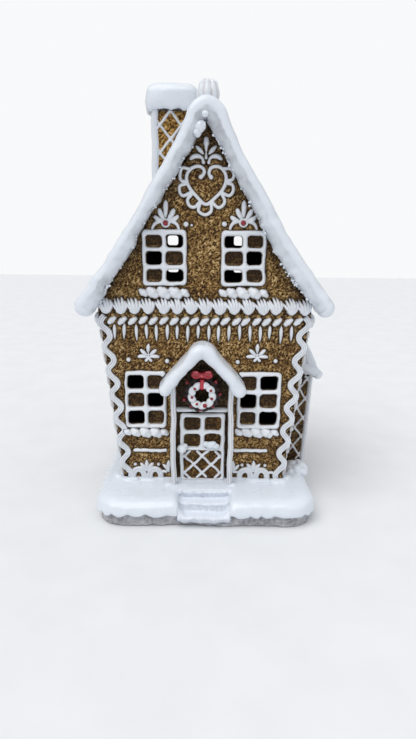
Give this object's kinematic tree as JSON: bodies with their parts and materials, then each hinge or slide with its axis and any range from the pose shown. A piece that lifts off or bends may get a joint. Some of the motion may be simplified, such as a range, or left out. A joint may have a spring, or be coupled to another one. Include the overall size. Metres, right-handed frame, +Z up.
{
  "type": "gingerbread house ornament",
  "caption": "Painted resin gingerbread house with tapered walls, steep snowy roof, chimney, lean-to and piped icing trim, standing on a moulded snow base.",
  "frame": {"origin": "middle of the bounding box in X and Y, at the flat underside of the base", "axes": "+Z up, +X to the right seen from the front, -Y towards the viewer: the front wall with the door faces -Y"},
  "size_m": [0.152, 0.134, 0.2595],
  "materials": {
    "gingerbread": "satin brown paint over crinkled relief, dark in the hollows and dry-brushed tan on the ridges",
    "dark_gingerbread": "satin dark brown paint in recesses",
    "icing": "satin white paint on raised piping, shaded grey in the grooves",
    "snow": "glossy smooth white paint",
    "rock": "rough grey granular cast stone",
    "red": "glossy deep red paint"
  },
  "bodies": {
    "root": {"annex_body": "gingerbread", "annex_lattice": "icing", "annex_snow": "snow", "bar_left": "icing", "bar_right": "icing", "base_rock": "rock", "base_snow": "snow", "chimney_cap": "snow", "chimney_lattice": "icing", "chimney_shaft": "gingerbread", "corner_band_back_left": "icing", "corner_band_back_right": "icing", "corner_band_front_left": "icing", "corner_band_front_right": "icing", "door": "dark_gingerbread", "door_header": "icing", "door_icing": "icing", "door_knob": "icing", "door_snow": "snow", "heart": "icing", "palmette_gable": "icing", "palmette_lower_left": "icing", "palmette_lower_right": "icing", "palmette_upper_left": "icing", "palmette_upper_right": "icing", "porch_post_left": "icing", "porch_post_right": "icing", "porch_snow": "snow", "ridge_shells": "icing", "roof_panel": "gingerbread", "roof_snow": "snow", "rope_row_front": "icing", "scroll_left": "icing", "scroll_right": "icing", "shell_row_back": "icing", "shell_row_front": "icing", "shell_row_left": "icing", "shell_row_right": "icing", "sill_lower_left": "icing", "sill_lower_right": "icing", "sill_upper_left": "icing", "sill_upper_right": "icing", "snow_mound": "snow", "steps": "snow", "wall_back": "gingerbread", "wall_front": "gingerbread", "wall_left": "gingerbread", "wall_right": "gingerbread", "window_annex": "icing", "window_back_upper_left": "icing", "window_back_upper_right": "icing", "window_left_back": "icing", "window_left_front": "icing", "window_lower_left": "icing", "window_lower_right": "icing", "window_upper_left": "icing", "window_upper_right": "icing", "wreath_bow": "red", "wreath_dark": "dark_gingerbread", "wreath_white": "icing"}
  },
  "joints": []
}
